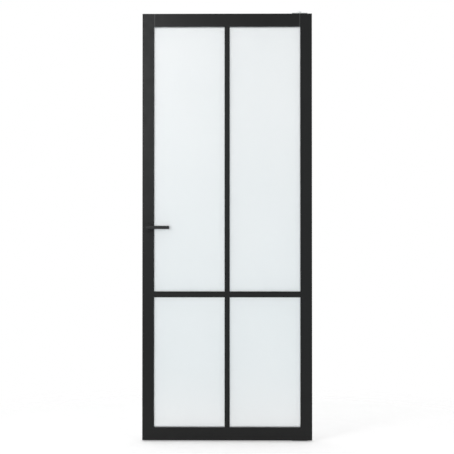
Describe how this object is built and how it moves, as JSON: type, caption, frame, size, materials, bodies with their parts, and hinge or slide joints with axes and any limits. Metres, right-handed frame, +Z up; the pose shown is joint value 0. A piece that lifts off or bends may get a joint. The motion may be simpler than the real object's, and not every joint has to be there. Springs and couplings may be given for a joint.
{
  "type": "glass door",
  "caption": "Slim black-framed interior door leaf with satin glass panes, a lever on each face and a magnetic latch, hung on concealed floor and lintel pivots.",
  "frame": {"origin": "centre of the floor plate's underside, on the pivot axis", "axes": "+Z up along the pivot axis, -Y out of the front face of the closed leaf, -X towards the lock edge"},
  "size_m": [0.834, 0.148, 2.115],
  "materials": {
    "black_lacquer": "satin black lacquer on timber",
    "satin_glass": "etched satin, lightly blue-white",
    "black_metal": "matte black powder coat",
    "black_screws": "black phosphate",
    "satin_steel": "brushed stainless",
    "spring_steel": "drawn spring wire",
    "bronze": "sintered bronze bush",
    "beech": "bare fluted dowel",
    "glazing_tape": "closed-cell foam tape",
    "block_plastic": "hard plastic"
  },
  "bodies": {
    "root": {"floor_plate": "satin_steel", "floor_pin": "satin_steel", "lintel_plate": "satin_steel", "lintel_bush": "bronze"},
    "leaf": {"lock_stile": "black_lacquer", "pivot_stile": "black_lacquer", "top_rail": "black_lacquer", "bottom_rail": "black_lacquer", "cross_bar": "black_lacquer", "upper_bar": "black_lacquer", "lower_bar": "black_lacquer", "corner_dowels": "beech", "bar_dowels": "beech", "pane_upper_left": "satin_glass", "pane_upper_right": "satin_glass", "pane_lower_left": "satin_glass", "pane_lower_right": "satin_glass", "side_beads_upper_left": "black_lacquer", "side_beads_upper_right": "black_lacquer", "side_beads_lower_left": "black_lacquer", "side_beads_lower_right": "black_lacquer", "end_beads_upper_left": "black_lacquer", "end_beads_upper_right": "black_lacquer", "end_beads_lower_left": "black_lacquer", "end_beads_lower_right": "black_lacquer", "front_tapes": "glazing_tape", "back_tapes": "glazing_tape", "setting_blocks": "block_plastic", "bead_screws": "black_screws", "bottom_housing": "satin_steel", "bottom_bush": "bronze", "top_housing": "satin_steel", "top_pin": "satin_steel", "housing_screws": "satin_steel", "forend": "satin_steel", "forend_screws": "satin_steel", "lock_case": "satin_steel", "lock_cover": "satin_steel", "case_screws": "satin_steel", "latch_spring": "spring_steel", "rosette_base_front": "satin_steel", "rosette_base_back": "satin_steel", "rosette_cover_front": "black_metal", "rosette_cover_back": "black_metal", "rosette_springs": "spring_steel", "rosette_screws": "satin_steel"},
    "lever": {"follower": "satin_steel", "drive_spring": "spring_steel", "spindle": "satin_steel", "lever_front": "black_metal", "lever_back": "black_metal", "grub_screws": "black_screws"},
    "latch": {"latch_bolt": "satin_steel", "latch_magnet": "satin_steel"}
  },
  "joints": [
    {"name": "leaf_swing", "type": "hinge", "parent": "root", "child": "leaf", "pos_m": [0, 0, 0], "axis": [0, 0, 1], "range_deg": [-90, 90]},
    {"name": "lever_turn", "type": "hinge", "parent": "leaf", "child": "lever", "pos_m": [-0.7455, 0, 1.05], "axis": [0, 1, 0], "range_deg": [0, 40], "stiffness_Nm_per_rad": 1.5, "springref_deg": -34.38, "deforming": ["drive_spring", "rosette_springs"]},
    {"name": "latch_slide", "type": "slide", "parent": "leaf", "child": "latch", "axis": [1, 0, 0], "range_m": [-0.011, 0], "stiffness_N_per_m": 60, "springref_m": 0.02, "deforming": ["latch_spring"]}
  ]
}
